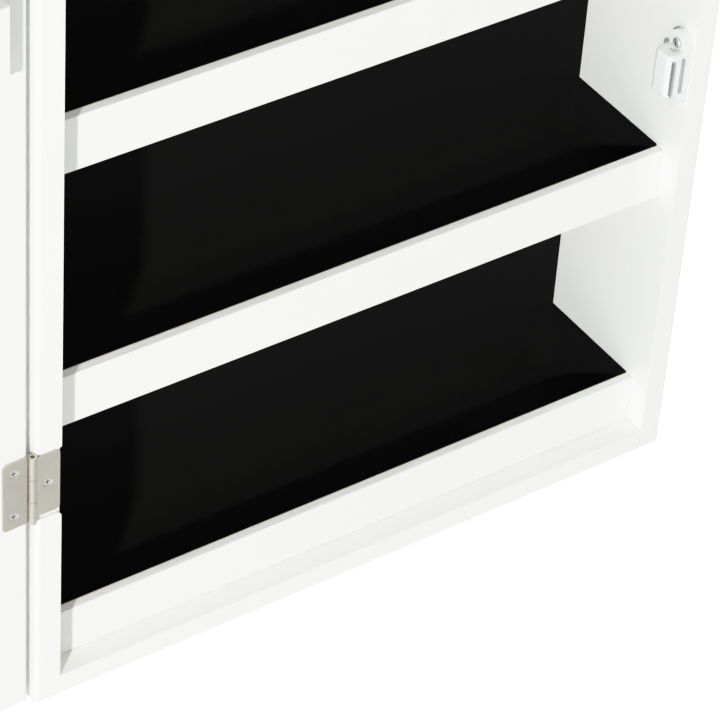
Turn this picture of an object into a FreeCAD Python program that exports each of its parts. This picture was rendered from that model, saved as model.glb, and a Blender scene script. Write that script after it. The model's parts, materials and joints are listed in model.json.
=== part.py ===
"""Wall-hung jewelry armoire: a shallow white cabinet with fenced, black-lined trays,
a necklace bay above them and one mirrored door on three small butt hinges.

Millimetres, +Z up. Everything is laid out with x = 0 in the middle of the cabinet,
y = 0 on its front plane (y grows towards the wall) and z = 0 under its bottom panel.
save() then moves each piece so that the origin is the middle of the cabinet's back.
The door is laid out closed, and opened() swings it to its rest pose.
"""
import FreeCAD, Part
import os

from FreeCAD import Vector

X_AXIS = Vector(1, 0, 0)
Y_AXIS = Vector(0, 1, 0)
Z_AXIS = Vector(0, 0, 1)

# Cabinet box
INNER_WIDTH = 340.0
PANEL_THICK = 13.0          # sides, top and bottom
CABINET_DEPTH = 85.0
CABINET_HEIGHT = 1200.0
EDGE_ROUND = 2.5            # round-over on outer front edges
BACK_BOARD_THICK = 3.0
BACK_BOARD_LET_IN = 6.5     # how far the back board reaches into the panels round it
LINING_THICK = 2.5

# Trays
FENCE_SETBACK = 12.0
FENCE_THICK = 5.0
FENCE_HEIGHT = 28.2
LOWEST_FENCE_HEIGHT = 27.1
SHELF_FIRST_Z = 155.2       # underside of the lowest shelf
SHELF_PITCH = 140.7
SHELF_COUNT = 4
SHELF_BOARD_THICK = 3.5
FELT_THICK = 1.0
CHEEK_THICK = 5.0           # at the tray's floor
CHEEK_TOP_THICK = 0.8
CHEEK_ABOVE_FENCE = 0.8

# Ring rolls in the highest tray
ROLL_COUNT = 5
ROLL_DIAMETER = 11.8
ROLL_END_GAP = 0.6

# Wall fixing and necklace pegs
HANG_RAIL_HEIGHT = 45.0
HANG_RAIL_THICK = 12.0
HANG_HOLE_RADIUS = 2.75
HANG_HOLE_SPACING = 240.0
PEG_RAIL_HEIGHT = 28.0
PEG_RAIL_THICK = 8.0
PEG_RAIL_Z = 1104.0
PEG_COUNT = 9
PEG_PITCH = 36.0
PEG_RADIUS = 1.8
PEG_LENGTH = 22.0
PEG_HEAD_RADIUS = 4.2
PEG_HEAD_THICK = 2.4
PEG_HEAD_ROUND = 0.8
PEG_TAIL = 6.0              # part of the peg inside its rail

# Door
DOOR_SIDE_OVERHANG = 1.0    # how far the closed door reaches past the cabinet at each side
DOOR_END_INSET = 3.0        # how much shorter it is at its bottom and top
DOOR_PANEL_THICK = 9.0
DOOR_FRAME_THICK = 6.0
DOOR_FRAME_WIDTH = 34.0
DOOR_OPEN_ANGLE = 177.0     # rest pose, measured from closed
MIRROR_THICK = 4.0
MIRROR_GAP = 0.5

# Inside of the door
LEDGE_PROUD = 10.3
LEDGE_END_GAP = 1.1         # from the cabinet's side walls when closed
LOWER_LEDGE_Z = 370.6
LOWER_LEDGE_HEIGHT = 37.0
EARRING_BOARD_HEIGHT = 355.0
EARRING_BOARD_THICK = 4.0
UPPER_LEDGE_HEIGHT = 24.0
EARRING_ROWS = 7
EARRING_SLOT_COUNT = 6
EARRING_SLOT_WIDTH = 40.0
EARRING_SLOT_HEIGHT = 1.6
EARRING_SLOT_DEPTH = 2.5

# Butt hinges: three equal knuckles, the outer two on the door's leaf
HINGE_HEIGHT = 39.4
HINGE_FROM_END = 136.9      # lowest hinge's middle above the cabinet's bottom
KNUCKLE_COUNT = 3
KNUCKLE_RADIUS = 1.9
KNUCKLE_GAP = 0.2
LEAF_THICK = 0.95
LEAF_CLEAR = 0.4            # between a leaf's cut-out and the other leaf's knuckle
PIN_RADIUS = 1.0
PIN_PLAY = 0.05
PIN_SHORT = 2.0             # the pin ends this far inside the barrel at each end
CABINET_LEAF_HEIGHT = 35.1
CABINET_LEAF_DROP = 0.6
CABINET_LEAF_WIDTH = 14.6
DOOR_LEAF_WIDTH = 14.9
LEAF_CORNER = 2.0
PIN_FROM_INNER_FACE = 14.9
NOTCH_BELOW = 19.9          # notch in the side panel, from the hinge's middle
NOTCH_ABOVE = 19.0
NOTCH_CORNER = 2.5
BARREL_POCKET_CLEAR = 0.3
BARREL_POCKET_END = 1.0

# Countersunk screws, their heads a little below the face they hold
COUNTERSINK_RADIUS = 2.65
SCREW_SINK = 0.5
SCREW_HEAD_RADIUS = 1.95
SCREW_HEAD_DEPTH = 0.8
SCREW_SHANK_RADIUS = 1.15
HINGE_SCREW_LENGTH = 8.0
CATCH_SCREW_LENGTH = 12.0
CROSS_WIDTH = 0.6
CROSS_SPAN = 2.5
CROSS_DEPTH = 0.6
CABINET_SCREW_FROM_PIN = 8.4
DOOR_SCREW_FROM_PIN = 9.2
DOOR_SCREW_SPREAD = 12.75

# Magnetic catches
CATCH_FROM_END = 236.8
CATCH_HEIGHT = 24.0
CATCH_PROUD = 13.5
CATCH_DEPTH = 13.0
CATCH_FRONT_SETBACK = 0.5
CATCH_ROUND = 3.6           # the long edges away from the wall
CATCH_END_ROUND = 1.8
EAR_RADIUS = 6.5
EAR_THICK = 4.5
EAR_SCREW_OFFSET = 14.5
SCOOP_RADIUS = 3.6          # room for the screw's head in the body's ends
SCOOP_LENGTH = 4.0
PAN_HEAD_RADIUS = 2.6
PAN_HEAD_THICK = 1.5
PAN_HEAD_ROUND = 0.7
PAN_CROSS_SPAN = 3.2
POLE_THICK = 1.1
POLE_SLOT_CLEAR = 0.12
POLE_SPACING = 5.4
POLE_OFFSET = 1.8           # how far the pole plates' middle is from the body's, away from the wall
POLE_LENGTH = 19.4
POLE_PROUD = 0.9
POLE_REACH = 11.0
MAGNET_SETBACK = 2.5
STRIKE_THICK = 1.5
STRIKE_WIDTH = 15.0
STRIKE_HEIGHT = 38.0
STRIKE_SCREW_OFFSET = 14.5

# Knob
KNOB_BASE_RADIUS = 8.0
KNOB_BASE_THICK = 2.5
KNOB_NECK_RADIUS = 4.5
KNOB_NECK_LENGTH = 8.0
KNOB_HEAD_RADIUS = 12.0
KNOB_HEAD_THICK = 11.0
KNOB_HEAD_ROUND = 4.0
KNOB_STUD_RADIUS = 2.0
KNOB_STUD_BITE = 8.0        # stud's length inside the knob
KNOB_STUD_REACH = 12.0      # stud's length inside the door

SAME_PLACE = 0.01           # coordinates closer than this count as equal

# Worked out from the above
HALF_INNER = INNER_WIDTH / 2
HALF_OUTER = HALF_INNER + PANEL_THICK
BACK_BOARD_Y = CABINET_DEPTH - BACK_BOARD_THICK
LINING_Y = BACK_BOARD_Y - LINING_THICK
FENCE_BACK_Y = FENCE_SETBACK + FENCE_THICK
SHELF_Z = [SHELF_FIRST_Z + SHELF_PITCH * i for i in range(SHELF_COUNT)]
TOP_INSIDE_Z = CABINET_HEIGHT - PANEL_THICK
HANG_RAIL_Z = TOP_INSIDE_Z - HANG_RAIL_HEIGHT
PIN_X = -(HALF_INNER + PIN_FROM_INNER_FACE)
NOTCH_DEPTH = KNUCKLE_RADIUS
HINGE_Z = [HINGE_FROM_END, CABINET_HEIGHT / 2, CABINET_HEIGHT - HINGE_FROM_END]
CATCH_Z = [CATCH_FROM_END, CABINET_HEIGHT - CATCH_FROM_END]
HALF_DOOR = HALF_OUTER + DOOR_SIDE_OVERHANG
DOOR_INNER_Y = -KNUCKLE_RADIUS
DOOR_SEAM_Y = DOOR_INNER_Y - DOOR_PANEL_THICK
DOOR_FRONT_Y = DOOR_SEAM_Y - DOOR_FRAME_THICK
DOOR_BOTTOM_Z = DOOR_END_INSET
DOOR_TOP_Z = CABINET_HEIGHT - DOOR_END_INSET
HALF_LEDGE = HALF_INNER - LEDGE_END_GAP
CATCH_MIDDLE_X = HALF_INNER - CATCH_PROUD / 2
MAGNET_X = CATCH_MIDDLE_X - POLE_OFFSET
POLE_X = [MAGNET_X + side * POLE_SPACING / 2 for side in (-1, 1)]

ORIGIN_SHIFT = Vector(0, -CABINET_DEPTH, -CABINET_HEIGHT / 2)


def box(x0, x1, y0, y1, z0, z1):
    """Block between two x, two y and two z values."""
    return Part.makeBox(x1 - x0, y1 - y0, z1 - z0, Vector(x0, y0, z0))


def opened(shape):
    """Swing a door piece from closed to the rest pose, about the hinge pins."""
    turned = shape.copy()
    turned.rotate(Vector(PIN_X, 0, 0), Z_AXIS, -DOOR_OPEN_ANGLE)
    return turned


def save(name, shape):
    """Write one node, moved into the part's own frame."""
    placed = shape.copy()
    placed.translate(ORIGIN_SHIFT)
    placed.exportStep("parts/" + name + ".step")


def fillet_where(shape, radius, *tests):
    """Round the edges whose two end points both pass one of the tests."""
    edges = [e for e in shape.Edges
             if len(e.Vertexes) == 2 and any(all(test(v.Point) for v in e.Vertexes) for test in tests)]
    return shape.makeFillet(radius, edges)


def near(value, target):
    """True where two coordinates are the same."""
    return abs(value - target) < SAME_PLACE


def screw_blank(seat, direction, length):
    """Countersunk screw without its drive; seat is on the face that it holds."""
    top = seat + direction * SCREW_SINK
    head = Part.makeCone(SCREW_HEAD_RADIUS, SCREW_SHANK_RADIUS, SCREW_HEAD_DEPTH, top, direction)
    return head.fuse(Part.makeCylinder(SCREW_SHANK_RADIUS, length, top, direction))


def screw_hole(seat, direction, length):
    """Cutter for a screw and the open countersink above its head."""
    mouth = Part.makeCone(COUNTERSINK_RADIUS, SCREW_HEAD_RADIUS, SCREW_SINK, seat, direction)
    return mouth.fuse(screw_blank(seat, direction, length))


def drive_cross(top, direction, across):
    """Cross recess, across from end to end, cut into a head whose top is given."""
    half = CROSS_WIDTH / 2
    span = across / 2
    cross = box(-half, half, -span, span, 0, CROSS_DEPTH)
    cross = cross.fuse(box(-span, span, -half, half, 0, CROSS_DEPTH))
    cross.Placement = FreeCAD.Placement(top, FreeCAD.Rotation(Z_AXIS, direction))
    return cross


def screw(seat, direction, length):
    """Finished countersunk screw."""
    top = seat + direction * SCREW_SINK
    return screw_blank(seat, direction, length).cut(drive_cross(top, direction, CROSS_SPAN))


def pan_screw(seat, direction, length):
    """Pan-head screw whose head stands on the face at seat."""
    top = seat - direction * PAN_HEAD_THICK
    head = Part.makeCylinder(PAN_HEAD_RADIUS, PAN_HEAD_THICK, seat, -direction)
    rim = max((e for e in head.Edges if e.Closed and len(e.Vertexes) == 1),
              key=lambda e: (e.CenterOfMass - seat).Length)
    head = head.makeFillet(PAN_HEAD_ROUND, [rim])
    shank = Part.makeCylinder(SCREW_SHANK_RADIUS, length, seat, direction)
    return head.fuse(shank).removeSplitter().cut(drive_cross(top, direction, PAN_CROSS_SPAN))


def shank_hole(seat, direction, length):
    """Cutter for a pan-head screw's shank."""
    return Part.makeCylinder(SCREW_SHANK_RADIUS, length, seat, direction)


def cut_all(shape, tools):
    """Shape with every tool removed."""
    for tool in tools:
        shape = shape.cut(tool)
    return shape


# ---------------------------------------------------------------- screw positions

def hinge_cabinet_seats():
    """Head seats of the screws that hold the cabinet's leaves."""
    x = PIN_X + CABINET_SCREW_FROM_PIN
    y = NOTCH_DEPTH - LEAF_THICK
    return [Vector(x, y, z) for z in HINGE_Z]


def hinge_door_seats():
    """Head seats of the screws that hold the door's leaves."""
    x = PIN_X + DOOR_SCREW_FROM_PIN
    y = DOOR_INNER_Y + LEAF_THICK
    return [Vector(x, y, z + side * DOOR_SCREW_SPREAD) for z in HINGE_Z for side in (-1, 1)]


def ear_centres():
    """Middle of each catch ear on the side wall, with the side of the catch it is on."""
    y = CATCH_FRONT_SETBACK + CATCH_DEPTH / 2
    return [(Vector(HALF_INNER, y, z + side * EAR_SCREW_OFFSET), z, side)
            for z in CATCH_Z for side in (-1, 1)]


def catch_seats():
    """Head seats of the screws that hold the catches."""
    return [centre - X_AXIS * EAR_THICK for centre, _, _ in ear_centres()]


def strike_seats():
    """Head seats of the screws that hold the strike plates."""
    y = DOOR_INNER_Y + STRIKE_THICK
    return [Vector(CATCH_MIDDLE_X, y, z + side * STRIKE_SCREW_OFFSET)
            for z in CATCH_Z for side in (-1, 1)]


# ---------------------------------------------------------------- cabinet

def back_board_blank():
    """Back board before its fixing holes are made."""
    reach_x = HALF_INNER + BACK_BOARD_LET_IN
    return box(-reach_x, reach_x, BACK_BOARD_Y, CABINET_DEPTH,
               PANEL_THICK - BACK_BOARD_LET_IN, TOP_INSIDE_Z + BACK_BOARD_LET_IN)


def hang_holes():
    """Cutters for the wall screws' holes."""
    z = HANG_RAIL_Z + HANG_RAIL_HEIGHT / 2
    start = BACK_BOARD_Y - HANG_RAIL_THICK
    return [Part.makeCylinder(HANG_HOLE_RADIUS, CABINET_DEPTH - start,
                              Vector(side * HANG_HOLE_SPACING / 2, start, z), Y_AXIS)
            for side in (-1, 1)]


def side_panel(side):
    """Side panel, rounded on its outer front, bottom and top edges; side is -1 or 1."""
    outer = side * HALF_OUTER
    inner = side * HALF_INNER
    panel = box(min(outer, inner), max(outer, inner), 0, CABINET_DEPTH, 0, CABINET_HEIGHT)

    panel = fillet_where(panel, EDGE_ROUND,
                         lambda p: near(p.y, 0) and near(p.x, outer),
                         lambda p: near(p.y, 0) and near(p.z, 0),
                         lambda p: near(p.y, 0) and near(p.z, CABINET_HEIGHT))
    return panel.cut(back_board_blank())


def hinge_notch(z):
    """Cutter for one hinge: the leaf's notch, its eased lower corner, the barrel's pocket."""
    low = z - NOTCH_BELOW
    notch = box(-HALF_OUTER, -HALF_INNER, 0, NOTCH_DEPTH, low, z + NOTCH_ABOVE)
    corner = box(-HALF_INNER - NOTCH_CORNER, -HALF_INNER, 0, NOTCH_DEPTH, low - NOTCH_CORNER, low)
    keep = Part.makeCylinder(NOTCH_CORNER, NOTCH_DEPTH,
                             Vector(-HALF_INNER - NOTCH_CORNER, 0, low - NOTCH_CORNER), Y_AXIS)
    reach = HINGE_HEIGHT / 2 + BARREL_POCKET_END
    pocket = box(-HALF_OUTER, PIN_X + KNUCKLE_RADIUS + BARREL_POCKET_CLEAR,
                 0, KNUCKLE_RADIUS + BARREL_POCKET_CLEAR, z - reach, z + reach)
    return notch.fuse(corner.cut(keep)).fuse(pocket)


def end_panel(z, edge_z):
    """Bottom or top panel between the sides; edge_z is its outer face's height."""
    panel = box(-HALF_INNER, HALF_INNER, 0, CABINET_DEPTH, z, z + PANEL_THICK)
    panel = fillet_where(panel, EDGE_ROUND, lambda p: near(p.y, 0) and near(p.z, edge_z))
    return panel.cut(back_board_blank())


def make_case():
    """The box itself: sides, ends, back, lining and the rail that takes the wall screws."""
    left = cut_all(side_panel(-1), [hinge_notch(z) for z in HINGE_Z])
    left = cut_all(left, [screw_hole(s, Y_AXIS, HINGE_SCREW_LENGTH) for s in hinge_cabinet_seats()])
    right = cut_all(side_panel(1), [shank_hole(s, X_AXIS, CATCH_SCREW_LENGTH) for s in catch_seats()])
    save("side_panel_left", left)
    save("side_panel_right", right)
    save("bottom_panel", end_panel(0, 0))
    save("top_panel", end_panel(TOP_INSIDE_Z, CABINET_HEIGHT))
    save("back_panel", cut_all(back_board_blank(), hang_holes()))
    save("back_lining", box(-HALF_INNER, HALF_INNER, LINING_Y, BACK_BOARD_Y, PANEL_THICK, HANG_RAIL_Z))
    hang_rail = box(-HALF_INNER, HALF_INNER, BACK_BOARD_Y - HANG_RAIL_THICK, BACK_BOARD_Y,
                    HANG_RAIL_Z, TOP_INSIDE_Z)
    save("hang_rail", cut_all(hang_rail, hang_holes()))


def tray_cheek(side, floor_top, cheek_top):
    """Wedge along one end wall of a tray, thick at the floor and thin at its top."""
    wall = side * HALF_INNER
    corners = [(wall, floor_top), (wall - side * CHEEK_THICK, floor_top),
               (wall - side * CHEEK_TOP_THICK, cheek_top), (wall, cheek_top)]
    points = [Vector(x, FENCE_BACK_Y, z) for x, z in corners]
    section = Part.Face(Part.makePolygon(points + points[:1]))
    return section.extrude(Y_AXIS * (LINING_Y - FENCE_BACK_Y))


def tray_lining(floor_z, floor_top, cheek_top):
    """Black floor and two end cheeks of one tray, as three loose pieces."""
    floor = box(-HALF_INNER, HALF_INNER, FENCE_BACK_Y, LINING_Y, floor_z, floor_top)
    return Part.makeCompound([floor] + [tray_cheek(side, floor_top, cheek_top) for side in (-1, 1)])


def make_trays():
    """Lowest tray on the bottom panel, then one on each shelf board."""
    for number, z in enumerate([PANEL_THICK] + SHELF_Z, start=1):
        on_bottom = number == 1
        fence_top = z + (LOWEST_FENCE_HEIGHT if on_bottom else FENCE_HEIGHT)
        floor_top = z + SHELF_BOARD_THICK + FELT_THICK
        floor_z = z if on_bottom else z + SHELF_BOARD_THICK
        save(f"tray_fence_{number}",
             box(-HALF_INNER, HALF_INNER, FENCE_SETBACK, FENCE_BACK_Y, z, fence_top))
        save(f"tray_lining_{number}", tray_lining(floor_z, floor_top, fence_top + CHEEK_ABOVE_FENCE))
        if not on_bottom:
            save(f"shelf_board_{number}",
                 box(-HALF_INNER, HALF_INNER, FENCE_BACK_Y, LINING_Y, z, z + SHELF_BOARD_THICK))


def make_ring_rolls():
    """Padded rolls side by side in the highest tray; rings sit between them."""
    length = INNER_WIDTH - 2 * (CHEEK_THICK + ROLL_END_GAP)
    pitch = (LINING_Y - FENCE_BACK_Y) / ROLL_COUNT
    radius = ROLL_DIAMETER / 2
    floor_top = SHELF_Z[-1] + SHELF_BOARD_THICK + FELT_THICK
    for number in range(1, ROLL_COUNT + 1):
        y = FENCE_BACK_Y + pitch * (number - 0.5)
        start = Vector(-length / 2, y, floor_top + ROLL_END_GAP + radius)
        save(f"ring_roll_{number}", Part.makeCylinder(radius, length, start, X_AXIS))


def peg_blank(x, face_y):
    """One turned peg standing out of its rail towards the front."""
    start = Vector(x, face_y + PEG_TAIL, PEG_RAIL_Z)
    stem = Part.makeCylinder(PEG_RADIUS, PEG_TAIL + PEG_LENGTH, start, -Y_AXIS)
    head_start = Vector(x, face_y - PEG_LENGTH, PEG_RAIL_Z)
    head = Part.makeCylinder(PEG_HEAD_RADIUS, PEG_HEAD_THICK, head_start, -Y_AXIS)
    head = head.makeFillet(PEG_HEAD_ROUND, [e for e in head.Edges if len(e.Vertexes) == 1])
    return stem.fuse(head)


def make_pegs():
    """Necklace pegs and the rail that carries them."""
    face_y = LINING_Y - PEG_RAIL_THICK
    pegs = [peg_blank(PEG_PITCH * (i - (PEG_COUNT - 1) / 2), face_y) for i in range(PEG_COUNT)]
    half = HALF_INNER - CHEEK_THICK
    rail = box(-half, half, face_y, LINING_Y,
               PEG_RAIL_Z - PEG_RAIL_HEIGHT / 2, PEG_RAIL_Z + PEG_RAIL_HEIGHT / 2)
    save("peg_rail", cut_all(rail, pegs))
    save("necklace_pegs", Part.makeCompound(pegs))


# ---------------------------------------------------------------- hinges

def knuckle_spans(z):
    """Bottom and top of each knuckle of the hinge whose middle is at z."""
    pitch = HINGE_HEIGHT / KNUCKLE_COUNT
    low = z - HINGE_HEIGHT / 2
    return [(low + pitch * i + KNUCKLE_GAP / 2, low + pitch * (i + 1) - KNUCKLE_GAP / 2)
            for i in range(KNUCKLE_COUNT)]


def clear_barrel(leaf, low, high):
    """Cut a leaf away round the barrel between two heights."""
    room = KNUCKLE_RADIUS + LEAF_CLEAR
    return leaf.cut(box(PIN_X - room, PIN_X + room, -room, room, low, high))


def hinge_leaf(z, own, face_y, plate, bore_radius):
    """Rolled leaf: plate, own knuckles, room for the others. face_y is the plate's back.

    plate holds the plate's width and its bottom and top; own lists the knuckles it carries.
    """
    width, low, high = plate
    inward = -1 if face_y > 0 else 1
    y0, y1 = sorted((face_y, face_y + inward * LEAF_THICK))
    leaf = box(PIN_X, PIN_X + width, y0, y1, low, high)
    far = PIN_X + width
    leaf = fillet_where(leaf, LEAF_CORNER,
                        lambda p: near(p.x, far) and near(p.z, low),
                        lambda p: near(p.x, far) and near(p.z, high))
    spans = knuckle_spans(z)
    for index, (start, end) in enumerate(spans):
        if index not in own:
            leaf = clear_barrel(leaf, start - KNUCKLE_GAP, end + KNUCKLE_GAP)
    leaf = clear_barrel(leaf, spans[-1][1], spans[-1][1] + HINGE_HEIGHT)
    leaf = clear_barrel(leaf, spans[0][0] - HINGE_HEIGHT, spans[0][0])
    for index in own:
        start, end = spans[index]
        leaf = leaf.fuse(Part.makeCylinder(KNUCKLE_RADIUS, end - start, Vector(PIN_X, 0, start), Z_AXIS))
    bore = Part.makeCylinder(bore_radius, 2 * HINGE_HEIGHT, Vector(PIN_X, 0, z - HINGE_HEIGHT), Z_AXIS)
    return leaf.cut(bore).removeSplitter()


def make_hinges():
    """Leaves, pins and screws. The pins are tight in the cabinet's leaves."""
    cabinet_screws = [screw_hole(s, Y_AXIS, HINGE_SCREW_LENGTH) for s in hinge_cabinet_seats()]
    door_screws = [screw_hole(s, -Y_AXIS, HINGE_SCREW_LENGTH) for s in hinge_door_seats()]
    for number, z in enumerate(HINGE_Z, start=1):
        low = z - CABINET_LEAF_HEIGHT / 2 - CABINET_LEAF_DROP
        plate = (CABINET_LEAF_WIDTH, low, low + CABINET_LEAF_HEIGHT)
        leaf = hinge_leaf(z, (1,), NOTCH_DEPTH, plate, PIN_RADIUS)
        save(f"hinge_leaf_cabinet_{number}", cut_all(leaf, cabinet_screws))
        half = HINGE_HEIGHT / 2
        plate = (DOOR_LEAF_WIDTH, z - half + KNUCKLE_GAP / 2, z + half - KNUCKLE_GAP / 2)
        leaf = hinge_leaf(z, (0, 2), DOOR_INNER_Y, plate, PIN_RADIUS + PIN_PLAY)
        save(f"hinge_leaf_door_{number}", opened(cut_all(leaf, door_screws)))
        pin_length = HINGE_HEIGHT - 2 * PIN_SHORT
        pin = Part.makeCylinder(PIN_RADIUS, pin_length, Vector(PIN_X, 0, z - pin_length / 2), Z_AXIS)
        save(f"hinge_pin_{number}", pin)
    save("hinge_screws_cabinet", Part.makeCompound(
        [screw(s, Y_AXIS, HINGE_SCREW_LENGTH) for s in hinge_cabinet_seats()]))
    save("hinge_screws_door", opened(Part.makeCompound(
        [screw(s, -Y_AXIS, HINGE_SCREW_LENGTH) for s in hinge_door_seats()])))


# ---------------------------------------------------------------- magnetic catches

def pole_blanks(z):
    """The two steel pole plates of the catch whose middle is at z."""
    tip = CATCH_FRONT_SETBACK - POLE_PROUD
    back = CATCH_FRONT_SETBACK + POLE_REACH
    half = POLE_THICK / 2
    return [box(x - half, x + half, tip, back, z - POLE_LENGTH / 2, z + POLE_LENGTH / 2)
            for x in POLE_X]


def pole_slots(z):
    """Cutters for the slots in which the pole plates float a little."""
    half = POLE_THICK / 2 + POLE_SLOT_CLEAR
    reach = POLE_LENGTH / 2 + POLE_SLOT_CLEAR
    return [box(x - half, x + half, 0, CATCH_FRONT_SETBACK + POLE_REACH, z - reach, z + reach)
            for x in POLE_X]


def magnet_block(z):
    """Ferrite block between the pole plates."""
    half = (POLE_SPACING - POLE_THICK) / 2
    return box(MAGNET_X - half, MAGNET_X + half,
               CATCH_FRONT_SETBACK + MAGNET_SETBACK, CATCH_FRONT_SETBACK + POLE_REACH,
               z - POLE_LENGTH / 2, z + POLE_LENGTH / 2)


def catch_body(z):
    """White plastic catch housing with a screw ear at each end."""
    front = CATCH_FRONT_SETBACK
    back = front + CATCH_DEPTH
    face = HALF_INNER - CATCH_PROUD
    low = z - CATCH_HEIGHT / 2
    high = z + CATCH_HEIGHT / 2
    body = box(face, HALF_INNER, front, back, low, high)
    body = fillet_where(body, CATCH_ROUND, lambda p: near(p.x, face) and near(p.y, front),
                        lambda p: near(p.x, face) and near(p.y, back))
    off_wall = HALF_INNER - SAME_PLACE
    body = fillet_where(body, CATCH_END_ROUND, lambda p: near(p.z, low) and p.x < off_wall,
                        lambda p: near(p.z, high) and p.x < off_wall)
    for centre, catch_z, _ in ear_centres():
        if catch_z == z:
            ear = Part.makeCylinder(EAR_RADIUS, EAR_THICK, centre, -X_AXIS)
            root = box(HALF_INNER - EAR_THICK, HALF_INNER, centre.y - EAR_RADIUS, centre.y + EAR_RADIUS,
                       min(centre.z, z), max(centre.z, z))
            scoop = Part.makeCylinder(SCOOP_RADIUS, SCOOP_LENGTH, centre - X_AXIS * EAR_THICK, -X_AXIS)
            body = body.fuse(ear).fuse(root).cut(scoop)
    return body.removeSplitter()


def make_catches():
    """Catches on the right side wall and their strike plates on the door."""
    catch_screws = [shank_hole(s, X_AXIS, CATCH_SCREW_LENGTH) for s in catch_seats()]
    strike_screws = [screw_hole(s, -Y_AXIS, HINGE_SCREW_LENGTH) for s in strike_seats()]
    for number, z in enumerate(CATCH_Z, start=1):
        poles = pole_blanks(z)
        magnet = magnet_block(z)
        save(f"catch_body_{number}", cut_all(catch_body(z), pole_slots(z) + [magnet] + catch_screws))
        save(f"catch_poles_{number}", Part.makeCompound(poles))
        save(f"catch_magnet_{number}", magnet)
        plate = box(CATCH_MIDDLE_X - STRIKE_WIDTH / 2, CATCH_MIDDLE_X + STRIKE_WIDTH / 2,
                    DOOR_INNER_Y, DOOR_INNER_Y + STRIKE_THICK, z - STRIKE_HEIGHT / 2, z + STRIKE_HEIGHT / 2)
        save(f"strike_plate_{number}", opened(cut_all(plate, strike_screws)))
    save("catch_screws", Part.makeCompound(
        [pan_screw(s, X_AXIS, CATCH_SCREW_LENGTH) for s in catch_seats()]))
    save("strike_screws", opened(Part.makeCompound(
        [screw(s, -Y_AXIS, HINGE_SCREW_LENGTH) for s in strike_seats()])))


# ---------------------------------------------------------------- door

def frame_member(corners):
    """Mitred frame member: its outline in x and z, as thick as the frame."""
    points = [Vector(x, DOOR_FRONT_Y, z) for x, z in corners]
    outline = Part.makePolygon(points + points[:1])
    return Part.Face(outline).extrude(Y_AXIS * DOOR_FRAME_THICK)


def make_door_frame():
    """Panel, four mitred members, mirror."""
    x_out = HALF_DOOR
    x_in = HALF_DOOR - DOOR_FRAME_WIDTH
    z_low = DOOR_BOTTOM_Z
    z_low_in = DOOR_BOTTOM_Z + DOOR_FRAME_WIDTH
    z_high = DOOR_TOP_Z
    z_high_in = DOOR_TOP_Z - DOOR_FRAME_WIDTH
    members = {
        "door_stile_hinge": [(-x_out, z_low), (-x_in, z_low_in), (-x_in, z_high_in), (-x_out, z_high)],
        "door_stile_free": [(x_out, z_low), (x_in, z_low_in), (x_in, z_high_in), (x_out, z_high)],
        "door_rail_bottom": [(-x_out, z_low), (x_out, z_low), (x_in, z_low_in), (-x_in, z_low_in)],
        "door_rail_top": [(-x_out, z_high), (x_out, z_high), (x_in, z_high_in), (-x_in, z_high_in)],
    }

    def on_outer_front(point):
        at_rim = near(abs(point.x), x_out) and (near(point.z, z_low) or near(point.z, z_high))
        return near(point.y, DOOR_FRONT_Y) and at_rim

    for name, corners in members.items():
        member = fillet_where(frame_member(corners), EDGE_ROUND, on_outer_front)
        if name == "door_stile_free":
            member = member.cut(knob_stud())
        save(name, opened(member))

    panel = box(-x_out, x_out, DOOR_SEAM_Y, DOOR_INNER_Y, z_low, z_high)
    panel = fillet_where(panel, EDGE_ROUND, lambda p: near(p.y, DOOR_INNER_Y))
    screws = [screw_hole(s, -Y_AXIS, HINGE_SCREW_LENGTH) for s in hinge_door_seats() + strike_seats()]
    save("door_panel", opened(cut_all(panel, screws + [knob_stud()])))

    gap = MIRROR_GAP
    mirror = box(-x_in + gap, x_in - gap, DOOR_SEAM_Y - MIRROR_THICK, DOOR_SEAM_Y,
                 z_low_in + gap, z_high_in - gap)
    save("mirror_glass", opened(mirror))


def knob_middle(y):
    """Point on the knob's axis."""
    return Vector(HALF_DOOR - DOOR_FRAME_WIDTH / 2, y, CABINET_HEIGHT / 2)


def knob_stud():
    """Threaded stud that joins the knob to the door, blind on both sides."""
    return Part.makeCylinder(KNOB_STUD_RADIUS, KNOB_STUD_REACH + KNOB_STUD_BITE,
                             knob_middle(DOOR_FRONT_Y + KNOB_STUD_REACH), -Y_AXIS)


def make_knob():
    """Round pull on the door's free stile, with its stud."""
    base = Part.makeCylinder(KNOB_BASE_RADIUS, KNOB_BASE_THICK, knob_middle(DOOR_FRONT_Y), -Y_AXIS)
    neck_reach = KNOB_BASE_THICK + KNOB_NECK_LENGTH
    neck = Part.makeCylinder(KNOB_NECK_RADIUS, neck_reach, knob_middle(DOOR_FRONT_Y), -Y_AXIS)
    head = Part.makeCylinder(KNOB_HEAD_RADIUS, KNOB_HEAD_THICK,
                             knob_middle(DOOR_FRONT_Y - neck_reach), -Y_AXIS)
    head = head.makeFillet(KNOB_HEAD_ROUND, [e for e in head.Edges if e.Closed and len(e.Vertexes) == 1])
    knob = base.fuse(neck).fuse(head).removeSplitter()
    save("knob", opened(knob.cut(knob_stud())))
    save("knob_stud", opened(knob_stud()))


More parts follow.
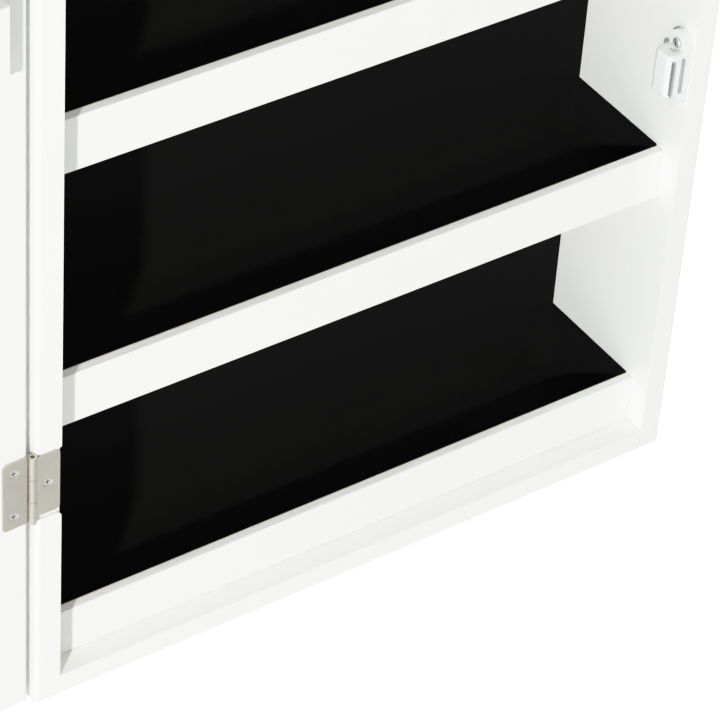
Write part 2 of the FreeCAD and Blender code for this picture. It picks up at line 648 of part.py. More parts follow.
def make_door_inside():
    """White ledges and the slotted black earring board between them."""
    lower_top = LOWER_LEDGE_Z + LOWER_LEDGE_HEIGHT
    board_top = lower_top + EARRING_BOARD_HEIGHT
    ledge_y = DOOR_INNER_Y + LEDGE_PROUD
    board_y = DOOR_INNER_Y + EARRING_BOARD_THICK
    save("door_ledge_lower",
         opened(box(-HALF_LEDGE, HALF_LEDGE, DOOR_INNER_Y, ledge_y, LOWER_LEDGE_Z, lower_top)))
    save("door_ledge_upper",
         opened(box(-HALF_LEDGE, HALF_LEDGE, DOOR_INNER_Y, ledge_y,
                    board_top, board_top + UPPER_LEDGE_HEIGHT)))
    board = box(-HALF_LEDGE, HALF_LEDGE, DOOR_INNER_Y, board_y, lower_top, board_top)
    row_pitch = EARRING_BOARD_HEIGHT / (EARRING_ROWS + 1)
    slot_pitch = 2 * HALF_LEDGE / EARRING_SLOT_COUNT
    slots = []
    for row in range(1, EARRING_ROWS + 1):
        z = lower_top + row_pitch * row
        for column in range(EARRING_SLOT_COUNT):
            x = -HALF_LEDGE + slot_pitch * (column + 0.5)
            slots.append(box(x - EARRING_SLOT_WIDTH / 2, x + EARRING_SLOT_WIDTH / 2,
                             board_y - EARRING_SLOT_DEPTH, board_y, z, z + EARRING_SLOT_HEIGHT))
    save("earring_board", opened(board.cut(Part.makeCompound(slots))))


os.makedirs("parts", exist_ok=True)
make_case()
make_trays()
make_ring_rolls()
make_pegs()
make_hinges()
make_catches()
make_door_frame()
make_knob()
make_door_inside()
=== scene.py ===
"""Looks of the wall-hung jewelry armoire: finishes, eased edges, padded ring rolls, studio and camera.

Metres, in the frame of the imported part: +Y into the wall, +Z up, origin at the middle of the back.
"""
import json
import math
import random

import bmesh
import bpy
from mathutils import Matrix, Vector


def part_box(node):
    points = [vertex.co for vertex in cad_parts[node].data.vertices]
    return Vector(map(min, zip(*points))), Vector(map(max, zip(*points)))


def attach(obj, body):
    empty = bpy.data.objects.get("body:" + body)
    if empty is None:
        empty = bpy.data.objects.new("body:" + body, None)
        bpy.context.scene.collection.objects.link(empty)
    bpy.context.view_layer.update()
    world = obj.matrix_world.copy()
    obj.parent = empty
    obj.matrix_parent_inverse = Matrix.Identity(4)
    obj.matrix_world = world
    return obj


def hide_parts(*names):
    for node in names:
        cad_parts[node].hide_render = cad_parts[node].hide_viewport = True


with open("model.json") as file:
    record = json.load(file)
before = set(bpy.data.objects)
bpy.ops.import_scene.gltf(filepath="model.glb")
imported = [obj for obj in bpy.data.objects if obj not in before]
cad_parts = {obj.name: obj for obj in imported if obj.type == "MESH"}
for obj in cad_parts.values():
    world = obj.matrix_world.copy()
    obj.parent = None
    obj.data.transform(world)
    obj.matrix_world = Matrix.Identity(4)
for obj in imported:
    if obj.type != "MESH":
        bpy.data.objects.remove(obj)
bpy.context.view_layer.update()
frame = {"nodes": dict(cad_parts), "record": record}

MM = 0.001

# Camera, at the photograph's viewing angle
CAMERA_AZIMUTH = 36.761
CAMERA_ELEVATION = 40.218
CAMERA_ROLL = 4.286
CAMERA_LENS = 188.17
CAMERA_SENSOR = 36.0
CAMERA_FAR = 200.0
CAMERA_PLACE = Vector((-0.806, -1.1502, 0.6619))

# Light: a small key three metres away on the left, and a pale room
KEY_TRAVEL = Vector((1.13, 1.0, -0.571))
KEY_AIM = Vector((-0.17, -0.07, -0.42))
KEY_DISTANCE = 3.0
KEY_RADIUS = 0.066
KEY_WATTS = 398.0
KEY_COLOR = (1.0, 0.99, 0.965)
SKY = 0.845
SKY_OVERHEAD = 0.56         # as a part of the room's brightness at eye level
SKY_FRONT_COLOR = (1.0, 0.98, 0.925)
SKY_LEFT_FROM = -0.1        # x of the direction where the bluish left side of the room begins
SKY_LEFT_FULL = -0.65
SKY_LEFT_COLOR = (0.56, 0.81, 1.02)
BACKDROP_GLOW = 6.0         # what only the camera sees of the room and the floor
FLOOR_HEIGHT = -1.5
FLOOR_REACH = 60.0
FLOOR_COLOR = (0.8, 0.8, 0.8)
FLOOR_ROUGHNESS = 0.8

# Tone of the camera: a trace of lens flare and a highlight shoulder, as scene against shown brightness
FLARE = 0.0009
SHOULDER_TOP = 2.0
SHOULDER = ((0.7, 0.7), (1.0, 0.86), (1.2, 0.92), (1.4, 0.95))
SHOULDER_END = 0.99

# Eased edges of painted boards
PAINT_EDGE = 0.5 * MM
EDGE_SEGMENTS = 2
EDGE_ANGLE = 35.0           # degrees between faces from which an edge is eased
FLAT_ANGLE = 1.0            # degrees up to which faces count as one flat face
EDGE_WELD = 0.002 * MM

# Painted boards
PAINT_LOW = (0.865, 0.865, 0.830)
PAINT_HIGH = (0.900, 0.898, 0.868)
PAINT_PEEL_DEPTH = 0.03 * MM
PAINT_GRAIN_DEPTH = 0.006 * MM
# painted shade: the paint is darkened towards this colour in joints and recesses within this reach, found
# by ambient occlusion
JOINT_SHADE_REACH = 1.5 * MM
JOINT_SHADE_COLOR = (0.77, 0.77, 0.745)
SHADE_SAMPLES = 4

# Fences: brushed paint on the top, lighter there as painted light, a bare strip of board along its back
# edge
# painted light: the brushed tops run lighter than the paint, up to full white
LIT_BRUSHED_LOW = (0.86, 0.86, 0.83)
LIT_BRUSHED_HIGH = (1.0, 1.0, 0.97)
STREAK_SHAPE = (0.04, 1.0, 0.3)
STREAK_DEPTH = 0.12 * MM
BOARD_LOW = (0.50, 0.43, 0.27)
BOARD_HIGH = (0.68, 0.62, 0.44)
BARE_STRIP = 0.75 * MM
BARE_RAGGED = 0.4 * MM
BARE_FADE = (-0.12 * MM, 0.08 * MM)

# Flock: pile and specks of dust
FIBRE_DEPTH = 0.10 * MM
DUST_CELLS = 75.0           # per metre, and each may hold one speck
DUST_RARE = (0.88, 0.89)    # share of the cells that stay clean, as a narrow ramp
DUST_SIZE = (0.012, 0.028)
DUST_COLOR = (0.10, 0.10, 0.095)

# Plastic, magnets and metals
SINK_DEPTH = 0.05 * MM
MOULD_GRAIN_DEPTH = 0.004 * MM
FERRITE_GRAIN_DEPTH = 0.02 * MM
BRUSH_SQUEEZE = 0.04        # wave number along the brushed grain as a part of that across it
BRUSH_DEPTH = 0.003 * MM
# painted shade: reach of the ambient occlusion that darkens the metals' recesses
METAL_SHADE_REACH = 0.9 * MM

# Flocked trays, formed in one piece with soft inside corners
RIM_ROUND = 0.3 * MM
TRAY_WELD = 0.02 * MM
SHARP_ANGLE = 40.0          # degrees between faces from which an edge is shaded sharp
WALL_AT_RIM = 0.8 * MM
WALL_AT_FLOOR = 4.6 * MM
BACK_WALL = 0.15 * MM
FRONT_DROP = 0.8 * MM       # the front wall's rim below the fence's top
FLOOR_THICK = 1.0 * MM
CORNER_AT_RIM = 3.0 * MM
COVE = {1: 15.0 * MM, 2: 11.0 * MM, 3: 11.0 * MM, 4: 11.0 * MM, 5: 3.0 * MM}
CORNER_STEPS = 10
LIFT_RATE = 3.0             # the cheeks' rim comes down to the front wall's in a third of the corner
BACK_DRAFT = 0.25           # the back wall's slope as a part of the cheeks'
DRAFT_STEPS = 6
COVE_STEPS = 10

# Padded ring rolls
ROLL_COUNT = 5
ROLL_START = 0.92           # start radius as a part of the finished one
ROLL_AROUND = 20
ROLL_END_STEPS = 6
ROLL_BODY_STEPS = 60
ROLL_END_BULGE = 0.5        # length of the rounded end as a part of the radius
ROLL_WELD = 0.001 * MM
ROLL_VOXEL = 1.9 * MM
ROLL_PRESSURE = 4.0
ROLL_CAP = 0.5 * MM
ROLL_FRAMES = 20
ROLL_SEAM_DEPTH = 0.45 * MM
ROLL_SEAM_WIDTH = 0.9 * MM
ROLL_SEAM_ANGLE = -60.0     # degrees round the roll from its back, negative below
ROLL_GATHERS = 9
ROLL_GATHER_REACH = 1.3     # from the end, as a part of the radius
ROLL_GATHER_DEPTH = 0.35 * MM
ROLL_LUMP_WAVES = (40.0, 95.0, 190.0)
ROLL_LUMP = 0.012
ROLL_AXIS_CLEAR = 0.1 * MM  # points this near to the axis stay where they are
ROLL_SKIN = 0.05 * MM       # kept inside the finished radius
ROLL_SEED = 7


# ---------------------------------------------------------------- node helpers

class Shader:
    """A new material with its Principled shader and short calls for the nodes that feed it."""

    def __init__(self, name, **sockets):
        self.material = bpy.data.materials.new(name)
        self.material.use_nodes = True
        self.tree = self.material.node_tree
        self.surface = self.tree.nodes["Principled BSDF"]
        for socket, value in sockets.items():
            self.surface.inputs[socket.replace("_", " ")].default_value = value
        self.place = self.tree.nodes.new("ShaderNodeTexCoord").outputs["Object"]

    def node(self, kind, **settings):
        made = self.tree.nodes.new("ShaderNode" + kind)
        for key, value in settings.items():
            setattr(made, key, value)
        return made

    def link(self, source, target):
        self.tree.links.new(source, target)

    def stretched(self, scale):
        """Object coordinates scaled along each axis."""
        mapping = self.node("Mapping")
        mapping.inputs["Scale"].default_value = scale
        self.link(self.place, mapping.inputs["Vector"])
        return mapping.outputs["Vector"]

    def noise(self, scale, detail=2.0, roughness=0.5, vector=None):
        """Noise value between 0 and 1, with scale in waves per metre."""
        made = self.node("TexNoise")
        made.inputs["Scale"].default_value = scale
        made.inputs["Detail"].default_value = detail
        made.inputs["Roughness"].default_value = roughness
        self.link(vector or self.place, made.inputs["Vector"])
        return made.outputs["Fac"]

    def spread(self, value, low, high, start=0.0, end=1.0):
        """Value mapped from start..end to low..high."""
        made = self.node("MapRange")
        for socket, number in (("From Min", start), ("From Max", end), ("To Min", low), ("To Max", high)):
            made.inputs[socket].default_value = number
        self.link(value, made.inputs["Value"])
        return made.outputs["Result"]

    def math(self, operation, first, second):
        made = self.node("Math", operation=operation)
        for socket, value in zip(made.inputs, (first, second)):
            if isinstance(value, (int, float)):
                socket.default_value = value
            else:
                self.link(value, socket)
        return made.outputs["Value"]

    def blend(self, amount, first, second):
        """Colour between two colours or colour outputs."""
        made = self.node("Mix", data_type="RGBA")
        self.link(amount, made.inputs["Factor"])
        for socket, value in ((made.inputs["A"], first), (made.inputs["B"], second)):
            if isinstance(value, tuple):
                socket.default_value = (*value, 1.0)
            else:
                self.link(value, socket)
        return made.outputs["Result"]

    def bump(self, height, depth, strength=1.0, below=None):
        """Bump of a given real depth, on top of another bump."""
        made = self.node("Bump")
        made.inputs["Strength"].default_value = strength
        made.inputs["Distance"].default_value = depth
        self.link(height, made.inputs["Height"])
        if below is not None:
            self.link(below, made.inputs["Normal"])
        return made.outputs["Normal"]

    def shade_occlusion(self, reach):
        """Ambient occlusion for painted shade: 1 on open surfaces, towards 0 in recesses narrower than
        reach.
        """
        made = self.node("AmbientOcclusion", samples=SHADE_SAMPLES)
        made.inputs["Distance"].default_value = reach
        return made.outputs["AO"]

    def finish(self, color=None, roughness=None, normal=None):
        for socket, value in (("Base Color", color), ("Roughness", roughness), ("Normal", normal)):
            if value is not None:
                self.link(value, self.surface.inputs[socket])
        return self.material


# ---------------------------------------------------------------- finishes

def white_paint(name, shaded_joints=True, bare_beyond=None):
    """Satin white lacquer on fibreboard, with painted shade: a little darker in tight joints and recesses,
    where ambient occlusion finds them.

    With bare_beyond it is a fence's: brushed and lighter as painted light on the upward faces, and bare
    past that y.
    """
    s = Shader(name, Specular_IOR_Level=0.42, Coat_Weight=0.12, Coat_Roughness=0.22)
    cloud = s.noise(22.0, detail=3.0, roughness=0.55)
    mottle = s.noise(160.0, detail=3.0, roughness=0.6)
    tone = s.math("ADD", s.spread(cloud, 0.0, 0.6, 0.3, 0.7), s.spread(mottle, 0.0, 0.4, 0.3, 0.7))
    color = s.blend(tone, PAINT_LOW, PAINT_HIGH)
    grain = s.noise(2600.0, detail=2.0, roughness=0.6)
    peel = s.noise(700.0, detail=2.0, roughness=0.5)
    normal = s.bump(peel, PAINT_PEEL_DEPTH, 0.55)
    if bare_beyond is not None:
        streaks = s.noise(900.0, detail=2.0, roughness=0.5, vector=s.stretched(STREAK_SHAPE))
        color = bare_strip(s, lit_brushed_top(s, color, streaks), grain, bare_beyond)
        normal = s.bump(streaks, STREAK_DEPTH, 0.6, below=normal)
    # painted shade: paint darkened in joints and recesses that ambient occlusion finds
    if shaded_joints:
        unshaded_part = s.spread(s.shade_occlusion(JOINT_SHADE_REACH), 0.0, 1.0, 0.25, 0.7)
        color = s.blend(unshaded_part, JOINT_SHADE_COLOR, color)
    rough = s.spread(mottle, 0.34, 0.44, 0.25, 0.75)
    return s.finish(color, rough, s.bump(grain, PAINT_GRAIN_DEPTH, 0.5, below=normal))


def lit_brushed_top(s, color, streaks):
    """Colour of a board with lengthwise brush streaks on its upward faces, lighter there as painted light
    from above.
    """
    facing = s.node("SeparateXYZ")
    s.link(s.node("TexCoord").outputs["Normal"], facing.inputs["Vector"])
    # painted light: upward faces lighter than the rest of the paint
    brushed = s.blend(s.spread(streaks, 0.0, 1.0, 0.3, 0.7), LIT_BRUSHED_LOW, LIT_BRUSHED_HIGH)
    return s.blend(s.spread(facing.outputs["Z"], 0.0, 1.0, 0.7, 0.95), color, brushed)


def bare_strip(s, color, grain, beyond):
    """Colour of a board left bare past y = beyond, with a ragged edge of paint."""
    across = s.node("SeparateXYZ")
    s.link(s.place, across.inputs["Vector"])
    wander = s.spread(s.noise(260.0, detail=3.0), -BARE_RAGGED, BARE_RAGGED)
    ragged = s.math("ADD", across.outputs["Y"], wander)
    bare = s.spread(ragged, 0.0, 1.0, beyond + BARE_FADE[0], beyond + BARE_FADE[1])
    return s.blend(bare, color, s.blend(grain, BOARD_LOW, BOARD_HIGH))


def flock(name, low, high, sheen, sheen_roughness):
    """Short black pile: fine fibre grain, the faintest lean of the nap, a few specks of dust."""
    s = Shader(name, Sheen_Weight=sheen, Sheen_Roughness=sheen_roughness,
               Sheen_Tint=(0.75, 0.78, 0.8, 1.0), Specular_IOR_Level=0.04)
    fibre = s.noise(2200.0, detail=3.0, roughness=0.65)
    nap = s.noise(60.0, detail=2.0, roughness=0.5, vector=s.stretched((1.0, 1.0, 1.7)))
    shade = s.math("ADD", s.spread(fibre, 0.0, 0.85, 0.25, 0.75), s.spread(nap, 0.0, 0.15, 0.3, 0.7))
    color = s.blend(dust_specks(s), s.blend(shade, low, high), DUST_COLOR)
    return s.finish(color, s.spread(nap, 0.9, 1.0, 0.3, 0.7), s.bump(fibre, FIBRE_DEPTH, 0.7))


def dust_specks(s):
    """1 on a few small specks, one at most in each cell, and 0 elsewhere."""
    cells = s.node("TexVoronoi", feature="F1")
    cells.inputs["Scale"].default_value = DUST_CELLS
    s.link(s.place, cells.inputs["Vector"])
    chance = s.node("SeparateColor")
    s.link(cells.outputs["Color"], chance.inputs["Color"])
    seen = s.spread(chance.outputs["Red"], 0.0, 1.0, *DUST_RARE)
    size = s.spread(chance.outputs["Green"], *DUST_SIZE)
    return s.math("MULTIPLY", seen, s.math("LESS_THAN", cells.outputs["Distance"], size))


def white_plastic():
    """Moulded catch housing: glossy, a little translucent, with faint sink marks."""
    s = Shader("white_plastic_moulded", Specular_IOR_Level=0.5, Subsurface_Weight=0.15,
               Subsurface_Scale=0.002)
    flow = s.noise(140.0, detail=3.0, roughness=0.5)
    color = s.blend(flow, (0.79, 0.80, 0.785), (0.85, 0.855, 0.84))
    grain = s.noise(3500.0, detail=2.0, roughness=0.5)
    sinks = s.bump(s.noise(260.0, detail=1.0), SINK_DEPTH, 0.4)
    normal = s.bump(grain, MOULD_GRAIN_DEPTH, 0.4, below=sinks)
    return s.finish(color, s.spread(grain, 0.18, 0.30), normal)


def ferrite():
    """Sintered magnet: dark, grainy, faintly glossy."""
    s = Shader("ferrite_sintered", Specular_IOR_Level=0.5)
    grain = s.noise(4200.0, detail=3.0, roughness=0.6)
    color = s.blend(grain, (0.018, 0.018, 0.02), (0.07, 0.07, 0.072))
    return s.finish(color, s.spread(grain, 0.42, 0.7), s.bump(grain, FERRITE_GRAIN_DEPTH, 0.7))


def metal(name, dark, light, rough, along, recess=0.16, unshaded_from=0.8):
    """Plated metal with a fine brushed grain that runs along one axis, with painted shade darkening its
    recesses.
    """
    s = Shader(name, Metallic=1.0)
    squeeze = [BRUSH_SQUEEZE if axis == along else 1.0 for axis in "XYZ"]
    brushed = s.noise(5200.0, detail=3.0, roughness=0.6, vector=s.stretched(squeeze))
    haze = s.noise(90.0, detail=2.0, roughness=0.5)
    tone = s.math("ADD", s.spread(brushed, 0.0, 0.7, 0.25, 0.75), s.spread(haze, 0.0, 0.3, 0.3, 0.7))
    # painted shade: the metal darkened towards dark times recess where ambient occlusion finds recesses
    unshaded_part = s.spread(s.shade_occlusion(METAL_SHADE_REACH), 0.0, 1.0, 0.25, unshaded_from)
    color = s.blend(unshaded_part, tuple(c * recess for c in dark), s.blend(tone, dark, light))
    hazy = s.math("ADD", s.spread(haze, *rough, 0.3, 0.7), s.spread(brushed, 0.0, 0.05, 0.3, 0.7))
    return s.finish(color, hazy, s.bump(brushed, BRUSH_DEPTH, 0.5))


def mirror():
    """Silvered glass with the faintest haze of a wiped surface."""
    s = Shader("mirror_silvered", Metallic=1.0, Coat_Weight=1.0, Coat_Roughness=0.01, Coat_IOR=1.52)
    haze = s.noise(14.0, detail=4.0, roughness=0.6, vector=s.stretched((1.0, 1.0, 0.5)))
    color = s.blend(haze, (0.86, 0.885, 0.88), (0.90, 0.915, 0.915))
    return s.finish(color, s.spread(haze, 0.012, 0.045, 0.4, 0.75))


FINISHES = {
    "white_paint": white_paint("white_paint_satin"),
    "black_felt": flock("black_flock", low=(0.0016, 0.0017, 0.0016), high=(0.0041, 0.0042, 0.0038),
                        sheen=0.008, sheen_roughness=0.5),
    "black_velvet": flock("black_velvet_pile", low=(0.0020, 0.0020, 0.0023),
                          high=(0.0055, 0.0055, 0.0060), sheen=0.05, sheen_roughness=0.4),
    "white_plastic": white_plastic(),
    "ferrite": ferrite(),
    "bare_steel": metal("steel_zinc_plated", dark=(0.50, 0.51, 0.52), light=(0.68, 0.68, 0.675),
                        rough=(0.42, 0.50), along="X", recess=0.6),
    "satin_nickel": metal("nickel_satin", dark=(0.51, 0.478, 0.41), light=(0.67, 0.633, 0.555),
                          rough=(0.27, 0.36), along="Z"),
    "mirror": mirror(),
}
FENCE_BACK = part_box("tray_fence_1")[1].y
FENCE_PAINT = white_paint("white_paint_bare_back_edge", bare_beyond=FENCE_BACK - BARE_STRIP)
# the same paint without the painted shade in joints, used beside the door's gap
EDGE_PAINT = white_paint("white_paint_beside_the_gap", shaded_joints=False)
# painted shade: the screws' crosses and countersinks darkened almost to black
SCREW_METAL = metal("nickel_screw", dark=(0.70, 0.69, 0.66), light=(0.88, 0.87, 0.84),
                    rough=(0.34, 0.42), along="Z", recess=0.03, unshaded_from=0.95)
BESIDE_GAP = ("side_panel_left", "door_stile_hinge", "door_panel")


def finish_of(node, slot):
    """A node's finish: its slot's, or a variant of it on fences, on screws and beside the door's gap."""
    if node.startswith("tray_fence"):
        return FENCE_PAINT
    if node in BESIDE_GAP:
        return EDGE_PAINT
    if "screws" in node:
        return SCREW_METAL
    return FINISHES[slot]


def dress_frame():
    """Every CAD node takes its finish."""
    for part in frame["record"]["subparts"]:
        mesh = frame["nodes"][part["node"]].data
        mesh.materials.clear()
        mesh.materials.append(finish_of(part["node"], part["material_slot"]))


def ease_edges(node):
    """Break a CAD node's hard edges so that they catch light, without changing its mesh."""
    piece = frame["nodes"][node]
    weld = piece.modifiers.new("weld", "WELD")
    weld.merge_threshold = EDGE_WELD
    flat = piece.modifiers.new("flat_faces", "DECIMATE")
    flat.decimate_type = "DISSOLVE"
    flat.angle_limit = math.radians(FLAT_ANGLE)
    bevel = piece.modifiers.new("edge", "BEVEL")
    bevel.width = PAINT_EDGE
    bevel.segments = EDGE_SEGMENTS
    bevel.limit_method = "ANGLE"
    bevel.angle_limit = math.radians(EDGE_ANGLE)
    bevel.harden_normals = True


# ---------------------------------------------------------------- pieces made here

def add_piece(name, mesh, slot, body, *nodes):
    """A mesh as a named piece that rides on a body, has a slot's finish and stands for CAD nodes."""
    piece = bpy.data.objects.new(name, mesh)
    bpy.context.scene.collection.objects.link(piece)
    mesh.materials.clear()
    mesh.materials.append(FINISHES[slot])
    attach(piece, body)
    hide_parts(*nodes)
    return piece


def loop_round(x_half, y_front, y_back, corner):
    """Rounded rectangle seen from above, always with the same number of points.

    Each point comes with its lift: 0 along the front wall, and 1 along the others.
    """
    corners = ((x_half - corner, y_front + corner, -90, lambda part: part),
               (x_half - corner, y_back - corner, 0, lambda part: 1.0),
               (-x_half + corner, y_back - corner, 90, lambda part: 1.0),
               (-x_half + corner, y_front + corner, 180, lambda part: 1.0 - part))
    points = []
    for x, y, start, turned in corners:
        for step in range(CORNER_STEPS + 1):
            part = step / CORNER_STEPS
            angle = math.radians(start + 90.0 * part)
            lift = min(turned(part) * LIFT_RATE, 1.0)
            points.append((x + corner * math.cos(angle), y + corner * math.sin(angle), lift))
    return points


def tray_loops(low, high, fence_top, cove):
    """Loops of a formed tray from its outer bottom edge over the rim to the edge of its flat floor."""
    x_half, y_front, y_back = high.x, low.y, high.y
    floor_top = low.z + FLOOR_THICK
    front_rim = fence_top - FRONT_DROP

    def rim_height(lift):
        return front_rim + (high.z - front_rim) * lift

    def ring(wall, back, corner, height):
        plan = loop_round(x_half - wall, y_front + wall, y_back - back, corner)
        return [Vector((x, y, height(lift))) for x, y, lift in plan]

    loops = [ring(0.0, 0.0, RIM_ROUND, lambda lift: low.z),
             ring(0.0, 0.0, RIM_ROUND, lambda lift: rim_height(lift) - RIM_ROUND),
             ring(RIM_ROUND, BACK_WALL / 2, RIM_ROUND, rim_height)]
    for step in range(DRAFT_STEPS + 1):
        part = step / DRAFT_STEPS
        wall = WALL_AT_RIM + (WALL_AT_FLOOR - WALL_AT_RIM) * part
        back = BACK_WALL + (WALL_AT_FLOOR - WALL_AT_RIM) * part * BACK_DRAFT
        corner = CORNER_AT_RIM + (cove - CORNER_AT_RIM) * part
        loops.append(ring(wall, back, corner, lambda lift, part=part: (
            (rim_height(lift) - RIM_ROUND) * (1.0 - part) + (floor_top + cove) * part)))
    back_end = BACK_WALL + (WALL_AT_FLOOR - WALL_AT_RIM) * BACK_DRAFT
    for step in range(1, COVE_STEPS + 1):
        angle = math.radians(90.0 * step / COVE_STEPS)
        inward = cove * (1.0 - math.cos(angle))
        corner = max(cove - inward, RIM_ROUND)
        height = floor_top + cove * (1.0 - math.sin(angle))
        loops.append(ring(WALL_AT_FLOOR + inward, back_end + inward, corner,
                          lambda lift, height=height: height))
    return loops


def make_flocked_tray(number):
    """Black tray formed in one piece: drafted walls, soft coves, a thin rim."""
    node = f"tray_lining_{number}"
    low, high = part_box(node)
    fence_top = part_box(f"tray_fence_{number}")[1].z
    form = bmesh.new()
    rings = [[form.verts.new(p) for p in loop]
             for loop in tray_loops(Vector(low), Vector(high), fence_top, COVE[number])]
    for outer, inner in zip(rings, rings[1:]):
        for i in range(len(outer)):
            j = (i + 1) % len(outer)
            form.faces.new((outer[i], outer[j], inner[j], inner[i]))
    form.faces.new(rings[-1])
    form.faces.new(list(reversed(rings[0])))
    mesh = clean_mesh(form, f"flocked_tray_{number}", TRAY_WELD)
    smooth_with_edges(mesh)
    add_piece(mesh.name, mesh, "black_felt", "cabinet", node)


def clean_mesh(form, name, weld):
    """Mesh of a form, with its doubled points joined and its faces turned outwards."""
    bmesh.ops.remove_doubles(form, verts=form.verts, dist=weld)
    bmesh.ops.recalc_face_normals(form, faces=form.faces)
    mesh = bpy.data.meshes.new(name)
    form.to_mesh(mesh)
    form.free()
    return mesh


def smooth_with_edges(mesh):
    """Smooth shading that keeps the sharp edges sharp."""
    for face in mesh.polygons:
        face.use_smooth = True
    mesh.set_sharp_from_angle(angle=math.radians(SHARP_ANGLE))


def roll_stations(radius, length):
    """Places along a slack roll, each with its radius: a rounded end, a straight body, a rounded end."""
    start = radius * ROLL_START
    half = length / 2 - ROLL_CAP
    stations = [(-half, 0.0)]
    for step in range(1, ROLL_END_STEPS + 1):
        angle = math.radians(90.0 * step / ROLL_END_STEPS)
        bulge = start * ROLL_END_BULGE * (1.0 - math.cos(angle))
        stations.append((-half + bulge, start * math.sin(angle)))
    left = stations[-1][0]
    for step in range(1, ROLL_BODY_STEPS):
        stations.append((left - 2.0 * left * step / ROLL_BODY_STEPS, start))
    return stations + [(-x, r) for x, r in reversed(stations[:ROLL_END_STEPS + 1])]


def roll_blank(radius, length):
    """Slack roll along x with rounded ends, before its filling swells it."""
    form = bmesh.new()
    turns = [math.tau * k / ROLL_AROUND for k in range(ROLL_AROUND)]
    rings = [[form.verts.new((x, r * math.cos(turn), r * math.sin(turn))) for turn in turns]
             for x, r in roll_stations(radius, length)]
    for first, second in zip(rings, rings[1:]):
        for k in range(ROLL_AROUND):
            after = (k + 1) % ROLL_AROUND
            form.faces.new((first[k], first[after], second[after], second[k]))
    return clean_mesh(form, "roll_blank", ROLL_WELD)


def apply_modifiers(piece):
    """Turn a piece's modifiers into plain mesh."""
    graph = bpy.context.evaluated_depsgraph_get()
    made = bpy.data.meshes.new_from_object(piece.evaluated_get(graph))
    piece.modifiers.clear()
    old = piece.data
    piece.data = made
    bpy.data.meshes.remove(old)


def swell(piece):
    """Blow a closed slack form up as cloth, and hold each point within the cap of where it began."""
    remesh = piece.modifiers.new("voxels", "REMESH")
    remesh.mode = "VOXEL"
    remesh.voxel_size = ROLL_VOXEL
    apply_modifiers(piece)
    began = [v.co.copy() for v in piece.data.vertices]
    cloth = piece.modifiers.new("cloth", "CLOTH")
    cloth.settings.use_pressure = True
    cloth.settings.uniform_pressure_force = ROLL_PRESSURE
    cloth.settings.effector_weights.gravity = 0.0
    cloth.point_cache.frame_start = 1
    cloth.point_cache.frame_end = ROLL_FRAMES
    for step in range(1, ROLL_FRAMES + 1):
        bpy.context.scene.frame_set(step)
    apply_modifiers(piece)
    for vertex, home in zip(piece.data.vertices, began):
        moved = vertex.co - home
        if moved.length > ROLL_CAP:
            vertex.co = home + moved * (ROLL_CAP / moved.length)


def sew_roll(piece, radius, length, phases):
    """Long seam underneath at the back, gathers at both ends, slight lumps in the filling."""
    half = length / 2
    for vertex in piece.data.vertices:
        x, y, z = vertex.co
        out = math.hypot(y, z)
        if out < ROLL_AXIS_CLEAR:
            continue
        around = math.atan2(z, y)
        lump = sum(math.sin(x * wave + phase) for wave, phase in phases) / len(phases)
        near_end = max(0.0, 1.0 - (half - abs(x)) / (radius * ROLL_GATHER_REACH))
        gather = near_end * math.cos(ROLL_GATHERS * around) * ROLL_GATHER_DEPTH
        from_seam = (around - math.radians(ROLL_SEAM_ANGLE)) * out
        seam = ROLL_SEAM_DEPTH * math.exp(-(from_seam / ROLL_SEAM_WIDTH) ** 2)
        target = min(out * (1.0 + ROLL_LUMP * lump) + gather, radius - ROLL_SKIN) - seam
        vertex.co.y *= target / out
        vertex.co.z *= target / out
        vertex.co.x = min(max(x, -half), half)


def make_ring_roll(number, rng):
    """Velvet roll, padded, in the highest tray."""
    node = f"ring_roll_{number}"
    low, high = (Vector(p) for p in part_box(node))
    radius = (high.z - low.z) / 2
    length = high.x - low.x
    piece = add_piece(f"velvet_roll_{number}", roll_blank(radius, length), "black_velvet", "cabinet", node)
    phases = [(wave, rng.uniform(0.0, math.tau)) for wave in ROLL_LUMP_WAVES]
    swell(piece)
    sew_roll(piece, radius, length, phases)
    piece.data.transform(Matrix.Translation((low + high) / 2))
    soft = piece.modifiers.new("fine", "SUBSURF")
    soft.levels = 1
    soft.render_levels = 1
    apply_modifiers(piece)
    for face in piece.data.polygons:
        face.use_smooth = True


# ---------------------------------------------------------------- studio

def make_floor():
    """Pale floor well below the hung cabinet; the camera sees it as bright as a lit studio floor."""
    mesh = bpy.data.meshes.new("floor")
    corners = [(-FLOOR_REACH, -FLOOR_REACH), (FLOOR_REACH, -FLOOR_REACH),
               (FLOOR_REACH, FLOOR_REACH), (-FLOOR_REACH, FLOOR_REACH)]
    mesh.from_pydata([(x, y, FLOOR_HEIGHT) for x, y in corners], [], [(0, 1, 2, 3)])
    floor = bpy.data.objects.new("floor", mesh)
    bpy.context.scene.collection.objects.link(floor)
    s = Shader("floor_pale", Base_Color=(*FLOOR_COLOR, 1.0), Roughness=FLOOR_ROUGHNESS,
               Emission_Color=(1.0, 1.0, 1.0, 1.0))
    seen = s.node("LightPath").outputs["Is Camera Ray"]
    s.link(s.math("MULTIPLY", seen, BACKDROP_GLOW), s.surface.inputs["Emission Strength"])
    mesh.materials.append(s.material)


def make_key():
    """Small key from the left, front and above, close enough to fall off across the cabinet."""
    light = bpy.data.lights.new("key", "POINT")
    light.energy = KEY_WATTS
    light.shadow_soft_size = KEY_RADIUS
    light.color = KEY_COLOR
    key = bpy.data.objects.new("key", light)
    key.location = KEY_AIM - KEY_TRAVEL.normalized() * KEY_DISTANCE
    bpy.context.scene.collection.objects.link(key)


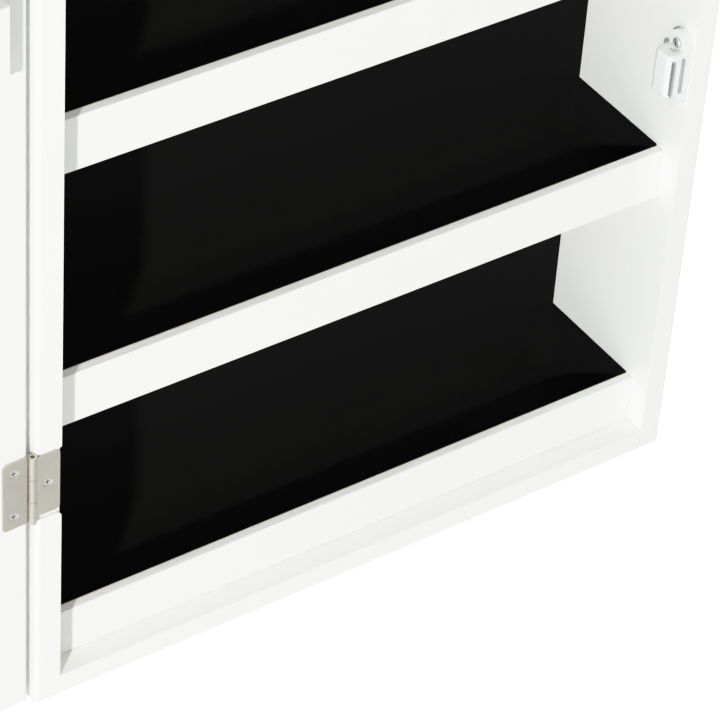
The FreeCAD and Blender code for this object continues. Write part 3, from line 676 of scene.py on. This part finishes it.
def make_room():
    """Pale room, dimmer overhead and bluish on the left; the camera sees it as a lit backdrop."""
    world = bpy.data.worlds.new("studio")
    bpy.context.scene.world = world
    world.use_nodes = True
    tree = world.node_tree
    back = tree.nodes["Background"]
    toward = tree.nodes.new("ShaderNodeSeparateXYZ")
    tree.links.new(tree.nodes.new("ShaderNodeTexCoord").outputs["Generated"], toward.inputs["Vector"])

    side = tree.nodes.new("ShaderNodeMapRange")
    side.inputs["From Min"].default_value = SKY_LEFT_FROM
    side.inputs["From Max"].default_value = SKY_LEFT_FULL
    tree.links.new(toward.outputs["X"], side.inputs["Value"])
    tint = tree.nodes.new("ShaderNodeMix")
    tint.data_type = "RGBA"
    tint.inputs["A"].default_value = (*SKY_FRONT_COLOR, 1)
    tint.inputs["B"].default_value = (*SKY_LEFT_COLOR, 1)
    tree.links.new(side.outputs["Result"], tint.inputs["Factor"])
    tree.links.new(tint.outputs["Result"], back.inputs["Color"])

    overhead = tree.nodes.new("ShaderNodeMapRange")
    overhead.inputs["To Min"].default_value = SKY
    overhead.inputs["To Max"].default_value = SKY * SKY_OVERHEAD
    tree.links.new(toward.outputs["Z"], overhead.inputs["Value"])
    path = tree.nodes.new("ShaderNodeLightPath")
    seen = tree.nodes.new("ShaderNodeMapRange")
    seen.inputs["To Max"].default_value = BACKDROP_GLOW
    tree.links.new(overhead.outputs["Result"], seen.inputs["To Min"])
    tree.links.new(path.outputs["Is Camera Ray"], seen.inputs["Value"])
    tree.links.new(seen.outputs["Result"], back.inputs["Strength"])


def make_camera():
    """Camera above the left front, looking down at the lowest trays."""
    camera = bpy.data.cameras.new("camera")
    camera.lens = CAMERA_LENS
    camera.sensor_width = CAMERA_SENSOR
    camera.clip_end = CAMERA_FAR
    holder = bpy.data.objects.new("camera", camera)
    turn = math.radians(CAMERA_AZIMUTH)
    tilt = math.radians(CAMERA_ELEVATION)
    roll = math.radians(CAMERA_ROLL)
    forward = Vector((math.sin(turn) * math.cos(tilt), math.cos(turn) * math.cos(tilt), -math.sin(tilt)))
    level = Vector((math.cos(turn), -math.sin(turn), 0.0))
    right = level * math.cos(roll) + level.cross(forward) * math.sin(roll)
    up = right.cross(forward)
    facing = Matrix((right, up, -forward)).transposed().to_4x4()
    holder.matrix_world = Matrix.Translation(CAMERA_PLACE) @ facing
    bpy.context.scene.collection.objects.link(holder)
    bpy.context.scene.camera = holder


def set_tone():
    """Plain display colours with a soft highlight shoulder."""
    view = bpy.context.scene.view_settings
    view.view_transform = "Standard"
    view.use_curve_mapping = True
    mapping = view.curve_mapping
    mapping.white_level = (SHOULDER_TOP,) * 3
    curve = mapping.curves[3]
    curve.points[0].location = (0.0, FLARE)
    curve.points[-1].location = (1.0, SHOULDER_END)
    for bright, shown in SHOULDER:
        curve.points.new(bright / SHOULDER_TOP, shown)
    mapping.update()


# ---------------------------------------------------------------- the whole scene

EASED = ("side_panel", "top_panel", "bottom_panel", "tray_fence", "shelf_board", "door_", "hang_rail",
         "peg_rail")

dress_frame()
for name in frame["nodes"]:
    if name.startswith(EASED):
        ease_edges(name)
for tray in COVE:
    make_flocked_tray(tray)
draws = random.Random(ROLL_SEED)
for roll in range(1, ROLL_COUNT + 1):
    make_ring_roll(roll, draws)
make_floor()
make_key()
make_room()
make_camera()
set_tone()
